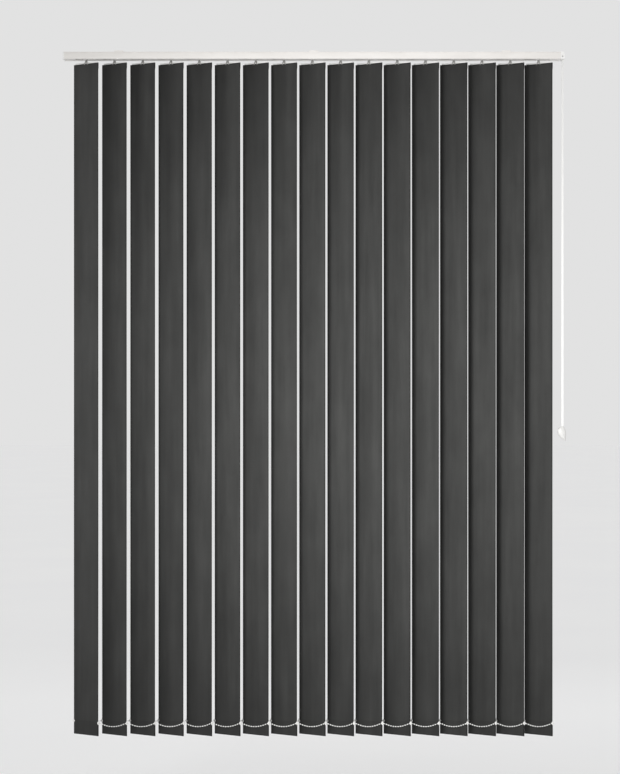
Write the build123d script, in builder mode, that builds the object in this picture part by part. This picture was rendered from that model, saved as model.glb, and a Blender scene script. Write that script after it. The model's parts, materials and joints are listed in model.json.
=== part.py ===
from build123d import *
import math
import os

os.makedirs("parts", exist_ok=True)

# A vertical blind of seventeen fabric louvres under a slim headrail, clipped below a ceiling or recess.
# Millimetres. X runs along the headrail to the control end, Y away from the room, Z up.
# The origin is on the mounting plane, above the middle of the headrail.

# ---------- driving dimensions ----------
louvre_count = 17
louvre_pitch = 78.0  # between two louvres when they are spread
louvre_width = 89.0
fabric_drop = 1851.5  # from the louvre's top edge to its bottom fold
fabric_thickness = 0.45
rest_tilt = -36.0  # degrees that the louvres stand turned from the window plane
stack_pitch = 16.0  # between two louvres when they are drawn together

idle_margin = 62.5  # from the idle end's face to the first louvre
control_margin = 69.5  # from the last louvre to the control end's face

rail_depth = 44.0
rail_height = 20.0
rail_wall = 1.2
rail_slot = 14.0
groove_drop = 2.4  # from the rail's top to its clip groove
groove_height = 1.0
groove_depth = 0.6

bracket_plate = 1.6
bracket_gap = 1.4  # between the bracket's plate and the rail
bracket_width = 24.0
bracket_lip = 0.8
bracket_inset = 150.0  # from each end of the rail to its bracket
screw_hole_radius = 2.2
screw_hole_spacing = 18.0

cord_diameter = 2.4
strand_spacing = 3.0  # between the two strands that hang
cord_drop = 1010.0  # from the rail's bottom to the cord weight
cord_y = -14.0  # the plane of the cord, its pulleys and its weight
control_line_inset = 5.0  # from the control end's face to the hanging strands
upper_pulley_radius = 3.4  # pitch radii
lower_pulley_radius = 3.0
return_pulley_radius = 4.15
weight_pulley_radius = 4.0
pulley_width = 5.0
axle_radius = 1.0
rim_height = 0.4  # a rim's height past the cord's centre line
groove_slack = 0.35  # between a cord and its pulley
upper_strand_drop = 1.6  # from the rail's inner top to the upper strand's centre

rod_y = 10.0
rod_drop = 9.8  # from the rail's inner top to the tilt rod's axis
rod_across_flats = 3.4
journal_radius = 1.9
running_clearance = 0.05  # between a journal and its bearing, on the radius

truck_gap = 0.4  # between two stacked trucks
truck_half_depth = 19.0
glide_clearance = 0.1
deck_drop = 5.6  # from the rail's inner top to the truck's deck
lid_thickness = 0.6
stem_radius = 2.5
stem_clearance = 0.1
boss_radius = 5.0
boss_reach = 0.8  # below the rail's bottom
wheel_teeth = 12
wheel_root_radius = 5.1
wheel_tip_radius = 6.4
wheel_height = 6.0
wheel_clearance = 0.5
worm_gap = 0.3  # between the worm's core and the wheel's tips
worm_length = 9.4
worm_bore_radius = 2.35
rod_passage_radius = 2.4
cord_passage_radius = 1.9
strip_thickness = 0.5
strip_width = 9.0
strip_overlap = 6.0  # of a spacer past the truck that it passes through
strip_top_gap = 0.1  # between a sloping spacer's high end and the rail's inner top

hanger_length = 78.0
hanger_bar_height = 3.6
hanger_bar_thickness = 1.6
hanger_blade_thickness = 0.8
hanger_blade_drop = 14.0
hanger_pin_spacing = 7.2
claw_plate = 0.9
claw_gap = 0.2  # between the hook's claw and the hanger
claw_foot = 13.0
claw_reach = 3.0  # of the claw's feet past the fabric's top edge
fabric_top_drop = 10.5  # from the rail's bottom to the fabric's top edge

weight_length = 84.0
weight_height = 37.0
weight_thickness = 1.2
pocket_height = 40.0
clip_height_above_hem = 36.0
clip_width = 8.0
clip_height = 11.0
clip_wall = 0.65
clip_overhang = 4.5  # of the clip past the louvre's edge
chain_hole_inset = 2.2  # from the clip's tip to its chain hole
chain_hole_radius = 1.0
chain_diameter = 2.4
chain_sag = 9.4

cap_face = 10.0  # of the control end that shows past the rail
idle_face = 4.0
cover_thickness = 1.5
insert_length = 28.0
insert_clearance = 0.2
chain_wheel_radius = 5.9
chain_wheel_width = 5.0
chain_bead_radius = 2.3
chain_bead_count = 6

shell_half_thickness = 6.3
shell_parting = 0.1  # from the weight's middle plane to each shell

# ---------- derived places ----------
span = (louvre_count - 1) * louvre_pitch
overall_length = idle_margin + span + control_margin
first_pivot = idle_margin - overall_length / 2
pivots = [first_pivot + i * louvre_pitch for i in range(louvre_count)]
left_end, right_end = -overall_length / 2, overall_length / 2

rail_top = -bracket_plate - bracket_gap
rail_bottom = rail_top - rail_height
rail_left, rail_right = left_end + idle_face, right_end - cap_face
inner_top, inner_floor = rail_top - rail_wall, rail_bottom + rail_wall
inner_half = rail_depth / 2 - rail_wall
middle_z = (rail_top + rail_bottom) / 2

cord_radius = cord_diameter / 2
cord_x = right_end - control_line_inset
near_strand_x = cord_x - strand_spacing / 2
far_strand_x = cord_x + strand_spacing / 2
upper_strand_z = inner_top - upper_strand_drop
lower_strand_z = upper_strand_z - 2 * return_pulley_radius
upper_pulley = (far_strand_x - upper_pulley_radius, upper_strand_z - upper_pulley_radius)
lower_pulley = (near_strand_x - lower_pulley_radius, lower_strand_z - lower_pulley_radius)
return_pulley = (left_end + 18.0, (upper_strand_z + lower_strand_z) / 2)
rod_z = inner_top - rod_drop

deck_z = inner_top - deck_drop
truck_floor = inner_floor + glide_clearance
truck_half_width = (stack_pitch - truck_gap) / 2
wheel_top = deck_z - lid_thickness - 0.4
wheel_bottom = wheel_top - wheel_height
cavity_bottom = wheel_bottom - 0.4
worm_radius = rod_y - wheel_tip_radius - worm_gap

fabric_top = rail_bottom - fabric_top_drop
fabric_bottom = fabric_top - fabric_drop
fabric_front = -hanger_blade_thickness / 2 - fabric_thickness
fabric_back = -hanger_blade_thickness / 2
hem_front = fabric_back + weight_thickness
clip_z = fabric_bottom + clip_height_above_hem
clip_middle = (fabric_front + hem_front + fabric_thickness) / 2
clip_half_thickness = (hem_front + fabric_thickness - fabric_front) / 2 + clip_wall
chain_hole_u = louvre_width / 2 + clip_overhang - chain_hole_inset

weight_top = rail_bottom - cord_drop
weight_pulley_z = weight_top - 14.5


def save(name, *pieces):
    """Label a node and write it as its own STEP file."""
    node = pieces[0] if len(pieces) == 1 else Compound(children=list(pieces))
    node.label = name
    export_step(node, f"parts/{name}.step")


def route(points, radii):
    """Straight runs through the points, joined by tangent arcs of the given radii."""
    print("arc radii", [round(r, 1) for r in radii])
    return FilletPolyline(*points, radius=radii)


# ---------- headrail: one extruded channel, kept as its five flat walls ----------
groove_z = rail_top - groove_drop - groove_height / 2
flange_width = (rail_depth - rail_slot) / 2

with BuildPart() as top_wall:
    with BuildSketch(Plane.YZ.offset(rail_left)):
        with Locations((0, rail_top - rail_wall / 2)):
            Rectangle(rail_depth, rail_wall)
    extrude(amount=rail_right - rail_left)
save("headrail_top", top_wall.part)

for name, side in (("front", -1), ("back", 1)):
    with BuildPart() as side_wall:
        with BuildSketch(Plane.YZ.offset(rail_left)):
            with Locations((side * (rail_depth - rail_wall) / 2, middle_z)):
                Rectangle(rail_wall, inner_top - inner_floor)
            with Locations((side * rail_depth / 2, groove_z)):
                Rectangle(2 * groove_depth, groove_height, mode=Mode.SUBTRACT)
        extrude(amount=rail_right - rail_left)
    save(f"headrail_{name}", side_wall.part)
    with BuildPart() as flange:
        with BuildSketch(Plane.YZ.offset(rail_left)):
            with Locations((side * (rail_slot + flange_width) / 2, rail_bottom + rail_wall / 2)):
                Rectangle(flange_width, rail_wall)
        extrude(amount=rail_right - rail_left)
    save(f"headrail_{name}_flange", flange.part)


# ---------- ceiling brackets ----------
def bracket(x):
    """A steel plate with two sprung lips that snap into the rail's clip grooves."""
    outer_half = rail_depth / 2 + 0.1 + bracket_lip
    with BuildPart() as plate:
        with BuildSketch(Plane.YZ.offset(x - bracket_width / 2)):
            with Locations((0, -bracket_plate / 2)):
                Rectangle(2 * outer_half, bracket_plate)
            for side in (-1, 1):
                lip_bottom = groove_z - groove_height
                with Locations((side * (outer_half - bracket_lip / 2), lip_bottom / 2)):
                    Rectangle(bracket_lip, -lip_bottom)
                bead = groove_depth * 0.8 + 0.1
                with Locations((side * (rail_depth / 2 + 0.1 - bead / 2), groove_z)):
                    Rectangle(bead, groove_height * 0.7)
                with Locations((side * 15.0, -bracket_plate - bracket_gap / 2)):
                    Rectangle(2.0, bracket_gap)
        extrude(amount=bracket_width)
        with Locations(Plane.XY.offset(-bracket_plate)):
            with Locations((x, -screw_hole_spacing / 2), (x, screw_hole_spacing / 2)):
                Hole(screw_hole_radius)
    return plate.part


bracket_places = {
    "bracket_left": rail_left + bracket_inset,
    "bracket_centre": 0.0,
    "bracket_right": rail_right - bracket_inset,
}
for name, x in bracket_places.items():
    save(name, bracket(x))


# ---------- pulleys and their axles ----------
def pulley(pitch_radius, x, z):
    """A grooved wheel whose cord lies at the pitch radius, on an axle along Y."""
    rim = pitch_radius + rim_height
    hub = pitch_radius - cord_radius - groove_slack
    half_groove = cord_radius + groove_slack
    with BuildPart() as wheel:
        with BuildSketch(Plane.XZ.offset(-cord_y - pulley_width / 2)):
            with Locations((x, z)):
                Circle(rim)
                Circle(axle_radius + running_clearance, mode=Mode.SUBTRACT)
        extrude(amount=pulley_width)
        with BuildSketch(Plane.XZ.offset(-cord_y - half_groove)):
            with Locations((x, z)):
                Circle(rim + 1.0)
                Circle(hub, mode=Mode.SUBTRACT)
        extrude(amount=2 * half_groove, mode=Mode.SUBTRACT)
    return wheel.part


def axle(x, z, front, back):
    """A round pin along Y."""
    with BuildPart() as pin:
        with BuildSketch(Plane.XZ.offset(-back)):
            with Locations((x, z)):
                Circle(axle_radius)
        extrude(amount=back - front)
    return pin.part


save("upper_cord_pulley", pulley(upper_pulley_radius, *upper_pulley))
save("lower_cord_pulley", pulley(lower_pulley_radius, *lower_pulley))
save("return_pulley", pulley(return_pulley_radius, *return_pulley))

pin_front = -rail_depth / 2 + 1.5
pin_back = cord_y + pulley_width / 2 + 3.5
cap_pins = [
    axle(*place, pin_front, pin_back) for place in (upper_pulley, lower_pulley, return_pulley)
]
save("pulley_axles", *cap_pins)

# ---------- control end: cap, cover and screws ----------
insert_half = inner_half - insert_clearance
insert_top, insert_floor = inner_top - insert_clearance, inner_floor + insert_clearance
cover_x = right_end - cover_thickness
pulley_bay_half = pulley_width / 2 + 1.0
bay_floor = insert_floor + 0.4
bay_left = lower_pulley[0] - lower_pulley_radius - rim_height - 0.8
wheel_bay_radius = chain_wheel_radius + 1.0
wheel_bay_left = rail_right + 1.5
cap_screw_places = [(-4.0, middle_z - 5.0), (-4.0, middle_z + 5.0)]


def block(x0, x1, y0, y1, z0, z1, mode=Mode.ADD):
    """A box between opposite corners, in the current part."""
    with Locations(((x0 + x1) / 2, (y0 + y1) / 2, (z0 + z1) / 2)):
        Box(x1 - x0, y1 - y0, z1 - z0, mode=mode)


def y_hole(x, z, radius, y0, y1):
    """A round hole along Y, in the current part."""
    with Locations((x, (y0 + y1) / 2, z)):
        Cylinder(radius, y1 - y0, rotation=(90, 0, 0), mode=Mode.SUBTRACT)


def x_hole(y, z, radius, x0, x1):
    """A round hole along X, in the current part."""
    with Locations(((x0 + x1) / 2, y, z)):
        Cylinder(radius, x1 - x0, rotation=(0, 90, 0), mode=Mode.SUBTRACT)


with BuildPart() as control_end_cap:
    half = rail_depth / 2
    block(rail_right, cover_x, -half, half, rail_bottom, rail_top)
    block(rail_right - insert_length, rail_right, -insert_half, insert_half, insert_floor, insert_top)
    bay = (cord_y - pulley_bay_half, cord_y + pulley_bay_half)
    block(bay_left, cover_x, *bay, bay_floor, inner_top, Mode.SUBTRACT)
    strand_slot = (cord_y - 2.2, cord_y + 2.2)
    slot_zs = (lower_strand_z - 4.0, insert_top)
    block(rail_right - insert_length, bay_left, *strand_slot, *slot_zs, Mode.SUBTRACT)
    outlet_left = near_strand_x - cord_radius - 0.6
    block(outlet_left, cover_x, *bay, rail_bottom, bay_floor, Mode.SUBTRACT)
    for place in (upper_pulley, lower_pulley):
        y_hole(*place, axle_radius, pin_front, pin_back)
    y_hole(cord_x, middle_z - 2.4, 1.6, -half, cord_y - pulley_bay_half)
    x_hole(rod_y, rod_z, wheel_bay_radius, wheel_bay_left, cover_x)
    chain_outlet = (rod_y - wheel_bay_radius, rod_y + wheel_bay_radius)
    block(wheel_bay_left, cover_x, *chain_outlet, rail_bottom, rod_z, Mode.SUBTRACT)
    x_hole(rod_y, rod_z, journal_radius + running_clearance, rail_right - insert_length, wheel_bay_left)
    for place in cap_screw_places:
        x_hole(*place, 0.9, rail_right + 1.0, cover_x)
save("control_end_cap", control_end_cap.part)

with BuildPart() as control_end_cover:
    block(cover_x, right_end, -half, half, rail_bottom, rail_top)
    fillet(control_end_cover.edges().filter_by(Axis.X), 1.0)
    for place in cap_screw_places:
        with Locations(Plane(origin=(right_end, *place), z_dir=(1, 0, 0))):
            CounterSinkHole(1.2, 2.1)
save("control_end_cover", control_end_cover.part)


def cap_screw(y, z):
    """A small countersunk screw that holds the cover on the control end."""
    head_depth = 0.9
    with BuildPart() as screw:
        with BuildSketch(Plane.YZ.offset(right_end - 0.05)):
            with Locations((y, z)):
                Circle(1.95)
        extrude(amount=-head_depth, taper=45)
        with BuildSketch(Plane.YZ.offset(right_end - head_depth)):
            with Locations((y, z)):
                Circle(0.85)
        extrude(amount=-(cover_thickness + 5.0))
    return screw.part


save("cover_screws", *[cap_screw(*place) for place in cap_screw_places])

# ---------- idle end ----------
idle_insert = rail_left + insert_length
with BuildPart() as idle_end_cap:
    block(left_end, rail_left, -half, half, rail_bottom, rail_top)
    fillet(idle_end_cap.edges().filter_by(Axis.X), 1.0)
    block(rail_left, idle_insert, -insert_half, insert_half, insert_floor, insert_top)
    bay_reach = return_pulley_radius + cord_radius + 1.0
    bay_zs = (return_pulley[1] - bay_reach, insert_top)
    block(return_pulley[0] - bay_reach, idle_insert, *bay, *bay_zs, Mode.SUBTRACT)
    y_hole(*return_pulley, axle_radius, pin_front, pin_back)
    x_hole(rod_y, rod_z, journal_radius + running_clearance, rail_left + 4.0, idle_insert)
save("idle_end_cap", idle_end_cap.part)

# ---------- tilt rod and chain wheel ----------
rod_left = rail_left + 5.0
rod_right = cover_x - 0.5
journal_length = insert_length - 4.0
with BuildPart() as tilt_rod:
    with BuildSketch(Plane.YZ.offset(rod_left)):
        with Locations((rod_y, rod_z)):
            Circle(journal_radius)
    extrude(amount=journal_length)
    with BuildSketch(Plane.YZ.offset(rod_left + journal_length)):
        with Locations((rod_y, rod_z)):
            RegularPolygon(rod_across_flats / 2, 6, major_radius=False)
    extrude(amount=rail_right - journal_length - rod_left - journal_length)
    with BuildSketch(Plane.YZ.offset(rail_right - journal_length)):
        with Locations((rod_y, rod_z)):
            Circle(journal_radius)
    extrude(amount=rod_right - rail_right + journal_length)
save("tilt_rod", tilt_rod.part)

chain_wheel_x = (wheel_bay_left + cover_x) / 2
with BuildPart() as chain_wheel:
    with BuildSketch(Plane.YZ.offset(chain_wheel_x - chain_wheel_width / 2)):
        with Locations((rod_y, rod_z)):
            Circle(chain_wheel_radius)
            Circle(journal_radius + 0.02, mode=Mode.SUBTRACT)
    extrude(amount=chain_wheel_width)
    wheel_plane = Plane(origin=(chain_wheel_x, rod_y, rod_z), z_dir=(1, 0, 0))
    with Locations(wheel_plane):
        with PolarLocations(chain_wheel_radius, chain_bead_count):
            Sphere(chain_bead_radius, mode=Mode.SUBTRACT)
save("chain_wheel", chain_wheel.part)


# ---------- trucks ----------
def z_cylinder(radius, z0, z1, mode=Mode.ADD):
    """A round boss or hole along Z about the pivot, in the current part."""
    with Locations((0, 0, (z0 + z1) / 2)):
        Cylinder(radius, z1 - z0, mode=mode)


lid_bottom = deck_z - lid_thickness
w = truck_half_width
with BuildPart() as truck_body:
    block(-w, w, -truck_half_depth, truck_half_depth, truck_floor, lid_bottom)
    z_cylinder(boss_radius, rail_bottom - boss_reach, truck_floor)
    z_cylinder(wheel_tip_radius + wheel_clearance, cavity_bottom, lid_bottom, Mode.SUBTRACT)
    z_cylinder(stem_radius + stem_clearance, rail_bottom - boss_reach, cavity_bottom, Mode.SUBTRACT)
    worm_bay = worm_radius + 0.4
    worm_bay_x = worm_length / 2 + 0.4
    bay_ys = (rod_y - worm_bay, rod_y + worm_bay)
    block(-worm_bay_x, worm_bay_x, *bay_ys, rod_z - worm_bay, lid_bottom, Mode.SUBTRACT)
    x_hole(rod_y, rod_z, rod_passage_radius, -w, w)
    x_hole(cord_y, lower_strand_z, cord_passage_radius, -w, w)
truck_body.part.label = "body"

rib_y = strip_width / 2 + 1.0
with BuildPart() as truck_lid:
    block(-w, w, -truck_half_depth, truck_half_depth, lid_bottom, deck_z)
    for side in (-1, 1):
        rib = sorted((side * rib_y, side * (rib_y + 1.2)))
        block(-w + 1.0, w - 1.0, *rib, deck_z, inner_top - 0.8)
truck_lid.part.label = "lid"

with BuildPart() as worm:
    with BuildSketch(Plane.YZ.offset(-worm_length / 2)):
        with Locations((rod_y, rod_z)):
            Circle(worm_radius)
            Circle(worm_bore_radius, mode=Mode.SUBTRACT)
    extrude(amount=worm_length)
worm.part.label = "worm"

strip_start = 5.0
strip_run = louvre_pitch + strip_overlap + strip_start
strip_bottom = deck_z + 0.35
strip_rise = inner_top - strip_top_gap - strip_thickness - strip_bottom
with BuildPart() as spacer:
    with BuildSketch(Plane.XZ.offset(-strip_width / 2)):
        Polygon(
            (strip_start, strip_bottom),
            (strip_start, strip_bottom + strip_thickness),
            (strip_start - strip_run, strip_bottom + strip_thickness + strip_rise),
            (strip_start - strip_run, strip_bottom + strip_rise),
            align=None,
        )
    extrude(amount=strip_width)
    block(strip_start - 3.0, strip_start, -strip_width / 2, strip_width / 2, deck_z, strip_bottom + 0.3)
spacer.part.label = "spacer"

clamp_half = 3.4
with BuildPart() as cord_clamp:
    clamp_ys = (cord_y - clamp_half, cord_y + clamp_half)
    block(-w + 1.5, w - 1.5, *clamp_ys, deck_z, inner_top - 0.5)
    x_hole(cord_y, upper_strand_z, cord_radius + 0.6, -w + 1.5, w - 1.5)
    block(-w + 1.5, w - 1.5, cord_y - 1.8, cord_y + 1.8, upper_strand_z, inner_top - 0.5, Mode.SUBTRACT)
cord_clamp.part.label = "cord_clamp"

for number, x in enumerate(pivots, 1):
    own = cord_clamp if number == 1 else spacer
    solids = [piece.part.moved(Pos(x, 0, 0)) for piece in (truck_body, truck_lid, worm, own)]
    save(f"truck_{number:02d}", *solids)

# ---------- louvres: built square to the rail about the pivot, then turned to the rest tilt ----------
with BuildPart() as fabric:
    with BuildSketch(Plane.YZ.offset(-louvre_width / 2)):
        fold = hem_front + fabric_thickness
        pocket_top = fabric_bottom + pocket_height
        Polygon(
            (fabric_front, fabric_top),
            (fabric_front, fabric_bottom),
            (fold, fabric_bottom),
            (fold, pocket_top - 1.5),
            (fabric_back + 0.45, pocket_top),
            (fabric_back, pocket_top),
            (fabric_back, fabric_top),
            align=None,
        )
        Polygon(
            (fabric_back, fabric_bottom + fabric_thickness),
            (hem_front, fabric_bottom + fabric_thickness),
            (hem_front, pocket_top - 1.8),
            (fabric_back, pocket_top - 1.0),
            align=None,
            mode=Mode.SUBTRACT,
        )
    extrude(amount=louvre_width)
fabric.part.label = "fabric"

bar_top = fabric_top + hanger_bar_height
bar_half = hanger_bar_thickness / 2
blade_half = hanger_blade_thickness / 2
with BuildPart() as hanger:
    with BuildSketch(Plane.XZ.offset(-bar_half)):
        with Locations((0, (bar_top + fabric_top) / 2)):
            RectangleRounded(hanger_length, hanger_bar_height, hanger_bar_height * 0.45)
    extrude(amount=hanger_bar_thickness)
    with BuildSketch(Plane.XZ.offset(-blade_half)):
        with Locations((0, fabric_top - hanger_blade_drop / 2)):
            Rectangle(hanger_length - 4.0, hanger_blade_drop)
        with Locations((0, fabric_top + 0.5)):
            Rectangle(hanger_length - 6.0, 1.0)
    extrude(amount=hanger_blade_thickness)
    pin_z = (bar_top + fabric_top) / 2
    for side in (-1, 1):
        y_hole(side * hanger_pin_spacing / 2, pin_z, 0.95, -bar_half, bar_half)
hanger.part.label = "hanger"

claw_top = rail_bottom - boss_reach - 0.6
claw_bottom = fabric_top - claw_reach
claw_inner = bar_half + claw_gap
claw_outer = claw_inner + claw_plate
crotch_z = bar_top + 1.4
with BuildPart() as hook:
    with BuildSketch(Plane.XY.offset(wheel_bottom)):
        Circle(wheel_root_radius)
        tooth = wheel_tip_radius - wheel_root_radius
        with PolarLocations(wheel_root_radius + tooth / 2 - 0.2, wheel_teeth):
            Rectangle(tooth + 0.3, 1.4)
    extrude(amount=wheel_height)
    z_cylinder(stem_radius, claw_top, wheel_bottom)
    with BuildSketch(Plane.XZ.offset(-claw_outer)):
        Polygon(
            (-stem_radius, claw_top),
            (stem_radius, claw_top),
            (stem_radius, claw_top - 1.6),
            (claw_foot / 2, claw_bottom),
            (claw_foot / 2 - 2.4, claw_bottom),
            (0, crotch_z),
            (-claw_foot / 2 + 2.4, claw_bottom),
            (-claw_foot / 2, claw_bottom),
            (-stem_radius, claw_top - 1.6),
            align=None,
        )
    extrude(amount=2 * claw_outer)
    with BuildSketch(Plane.XZ.offset(-claw_inner)):
        with Locations((0, (bar_top + claw_gap + claw_bottom) / 2)):
            Rectangle(claw_foot + 1.0, bar_top + claw_gap - claw_bottom)
    extrude(amount=2 * claw_inner, mode=Mode.SUBTRACT)
    with BuildSketch(Plane.XZ.offset(-claw_inner)):
        with Locations((-hanger_pin_spacing / 2, pin_z), (hanger_pin_spacing / 2, pin_z)):
            Circle(0.8)
    extrude(amount=2 * claw_inner)
hook.part.label = "hook"

weight_bottom = fabric_bottom + fabric_thickness
with BuildPart() as bottom_weight:
    with BuildSketch(Plane.XZ.offset(-fabric_back - weight_thickness)):
        with Locations((0, weight_bottom + weight_height / 2)):
            RectangleRounded(weight_length, weight_height, 3.0)
    extrude(amount=weight_thickness)
bottom_weight.part.label = "bottom_weight"


def chain_clip(side):
    """A diamond clip pushed over the edge of the hem, with a hole for the chain."""
    tip = louvre_width / 2 + clip_overhang
    middle = tip - clip_width / 2
    with BuildPart() as clip:
        with BuildSketch(Plane.XZ.offset(-clip_middle - clip_half_thickness)):
            Polygon(
                (side * (middle - clip_width / 2), clip_z),
                (side * middle, clip_z + clip_height / 2),
                (side * tip, clip_z),
                (side * middle, clip_z - clip_height / 2),
                align=None,
            )
        extrude(amount=2 * clip_half_thickness)
        edge = louvre_width / 2 + 0.05
        slot = sorted((side * (middle - clip_width), side * edge))
        slot_half = clip_half_thickness - clip_wall + 0.05
        block(*slot, clip_middle - slot_half, clip_middle + slot_half, clip_z - clip_height,
                 clip_z + clip_height, Mode.SUBTRACT)
        hole_ys = (clip_middle - clip_half_thickness, clip_middle + clip_half_thickness)
        y_hole(side * chain_hole_u, clip_z, chain_hole_radius, *hole_ys)
    clip.part.label = "front_clip" if side > 0 else "rear_clip"
    return clip.part


louvre = [fabric.part, hanger.part, hook.part, bottom_weight.part, chain_clip(1), chain_clip(-1)]
for number, x in enumerate(pivots, 1):
    turned = Pos(x, 0, 0) * Rot(0, 0, rest_tilt)
    save(f"louvre_{number:02d}", *[piece.moved(turned) for piece in louvre])


# ---------- bottom chains ----------
def hole_at(x, side):
    """Where the chain hole of the louvre at x lies, seen from above."""
    angle = math.radians(rest_tilt)
    u, v = side * chain_hole_u, clip_middle
    return x + u * math.cos(angle) - v * math.sin(angle), u * math.sin(angle) + v * math.cos(angle)


def chain_spans(side):
    """One sagging length of chain between each two neighbouring louvres."""
    near, far = (3.1, 4.7) if side > 0 else (4.7, 3.1)
    drops = [0.5, 5.4, 8.6, chain_sag, 8.6, 5.4, 0.5]
    spans = []
    for x in pivots[:-1]:
        x0, y = hole_at(x, side)
        start, end = x0 + near, x0 + louvre_pitch - far
        step = (end - start) / (len(drops) - 1)
        points = [(start + k * step, y, clip_z - drop) for k, drop in enumerate(drops)]
        with BuildPart() as chain:
            with BuildLine() as path:
                FilletPolyline(*points, radius=[30.0] * (len(points) - 2))
            with BuildSketch(Plane(origin=path.line @ 0, z_dir=path.line % 0)):
                Circle(chain_diameter / 2)
            sweep()
        spans.append(chain.part)
    return spans


save("bottom_chain_front", *chain_spans(1))
save("bottom_chain_rear", *chain_spans(-1))

# ---------- traverse cord ----------
with BuildPart() as cord_in_rail:
    return_left = return_pulley[0] - return_pulley_radius
    with BuildLine() as path:
        route(
            [
                (near_strand_x, cord_y, rail_bottom),
                (near_strand_x, cord_y, lower_strand_z),
                (return_left, cord_y, lower_strand_z),
                (return_left, cord_y, upper_strand_z),
                (far_strand_x, cord_y, upper_strand_z),
                (far_strand_x, cord_y, rail_bottom),
            ],
            [lower_pulley_radius, return_pulley_radius * 0.9999, return_pulley_radius * 0.9999,
             upper_pulley_radius],
        )
    with BuildSketch(Plane(origin=path.line @ 0, z_dir=path.line % 0)):
        Circle(cord_radius)
    sweep()
save("traverse_cord_in_rail", cord_in_rail.part)

flare_z = weight_top - 3.0
loop_points = [
    (far_strand_x, rail_bottom),
    (far_strand_x, flare_z),
    (cord_x + weight_pulley_radius, weight_pulley_z + 1.0),
    (cord_x + weight_pulley_radius, weight_pulley_z - weight_pulley_radius),
    (cord_x - weight_pulley_radius, weight_pulley_z - weight_pulley_radius),
    (cord_x - weight_pulley_radius, weight_pulley_z + 1.0),
    (near_strand_x, flare_z),
    (near_strand_x, rail_bottom),
]
pulley_arc = weight_pulley_radius * 0.9999
with BuildPart() as cord_loop:
    with BuildLine() as path:
        route([(x, cord_y, z) for x, z in loop_points], [12.0, 3.0, pulley_arc, pulley_arc, 3.0, 12.0])
    with BuildSketch(Plane(origin=path.line @ 0, z_dir=path.line % 0)):
        Circle(cord_radius)
    sweep()
save("traverse_cord_loop", cord_loop.part)
print("hanging cord", round(sum(edge.length for edge in path.line.edges()), 1))

# ---------- cord weight ----------
weight_side = [(3.0, -1.2), (7.4, -9.6), (9.5, -19.0), (8.6, -31.0), (8.0, -40.3)]
weight_underside = [(8.0, -40.3), (-4.0, -33.0), (-11.3, -23.0), (-13.8, -13.6), (-9.6, -5.0), (-3.0, -1.2)]
shell_cavity = pulley_width / 2 + 0.4
throat_half = strand_spacing / 2 + cord_radius + 0.5


def weight_shell(side):
    """Half of the leaf-shaped cord weight, in front of the pulley (-1) or behind it (1)."""
    with BuildPart() as shell:
        with BuildSketch(Plane.XZ.offset(-cord_y - side * shell_parting)):
            with BuildLine():
                Spline(*[(cord_x + x, weight_top + z) for x, z in weight_side])
                Spline(*[(cord_x + x, weight_top + z) for x, z in weight_underside])
                ends = [(cord_x - 3.0, weight_top - 1.2), (cord_x, weight_top), (cord_x + 3.0, weight_top - 1.2)]
                ThreePointArc(*ends)
            make_face()
        extrude(amount=-side * shell_half_thickness)
        pocket_radius = weight_pulley_radius + cord_radius + 0.8
        y_hole(cord_x, weight_pulley_z, pocket_radius, cord_y - shell_cavity, cord_y + shell_cavity)
        y_hole(cord_x, weight_pulley_z, axle_radius, cord_y - 5.0, cord_y + 5.0)
        throat_ys = (cord_y - cord_radius - 0.5, cord_y + cord_radius + 0.5)
        with BuildSketch(Plane.XZ.offset(-throat_ys[1])):
            with Locations((cord_x, weight_top)):
                Polygon(
                    (-throat_half, 1.0),
                    (throat_half, 1.0),
                    (throat_half, -3.0),
                    (pocket_radius, weight_pulley_z - weight_top),
                    (-pocket_radius, weight_pulley_z - weight_top),
                    (-throat_half, -3.0),
                    align=None,
                )
        extrude(amount=throat_ys[1] - throat_ys[0], mode=Mode.SUBTRACT)
    return shell.part


save("cord_weight_front", weight_shell(-1))
save("cord_weight_back", weight_shell(1))
save("weight_pulley", pulley(weight_pulley_radius, cord_x, weight_pulley_z))
save("weight_pulley_axle", axle(cord_x, weight_pulley_z, cord_y - 5.0, cord_y + 5.0))
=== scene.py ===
"""A vertical blind: charcoal fabric louvres under a slim white headrail, in a pale studio."""
import json
import math

import bmesh
import bpy
from mathutils import Matrix, Vector


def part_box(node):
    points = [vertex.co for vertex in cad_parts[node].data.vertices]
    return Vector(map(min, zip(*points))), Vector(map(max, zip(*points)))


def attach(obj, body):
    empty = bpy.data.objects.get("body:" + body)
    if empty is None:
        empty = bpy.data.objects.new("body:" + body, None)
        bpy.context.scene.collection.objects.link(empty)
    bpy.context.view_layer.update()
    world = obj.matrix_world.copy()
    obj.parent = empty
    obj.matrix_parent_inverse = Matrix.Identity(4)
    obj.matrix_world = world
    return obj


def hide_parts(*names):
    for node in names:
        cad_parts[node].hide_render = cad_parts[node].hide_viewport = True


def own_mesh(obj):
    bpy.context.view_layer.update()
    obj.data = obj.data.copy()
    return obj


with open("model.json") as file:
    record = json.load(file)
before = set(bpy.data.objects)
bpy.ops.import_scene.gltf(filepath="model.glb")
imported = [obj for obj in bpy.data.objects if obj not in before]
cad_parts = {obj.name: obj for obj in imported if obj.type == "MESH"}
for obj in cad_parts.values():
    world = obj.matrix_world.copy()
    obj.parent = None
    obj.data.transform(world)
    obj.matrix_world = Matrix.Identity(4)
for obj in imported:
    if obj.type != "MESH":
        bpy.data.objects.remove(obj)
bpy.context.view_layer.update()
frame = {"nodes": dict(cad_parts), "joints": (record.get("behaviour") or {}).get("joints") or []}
mm = 0.001

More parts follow.
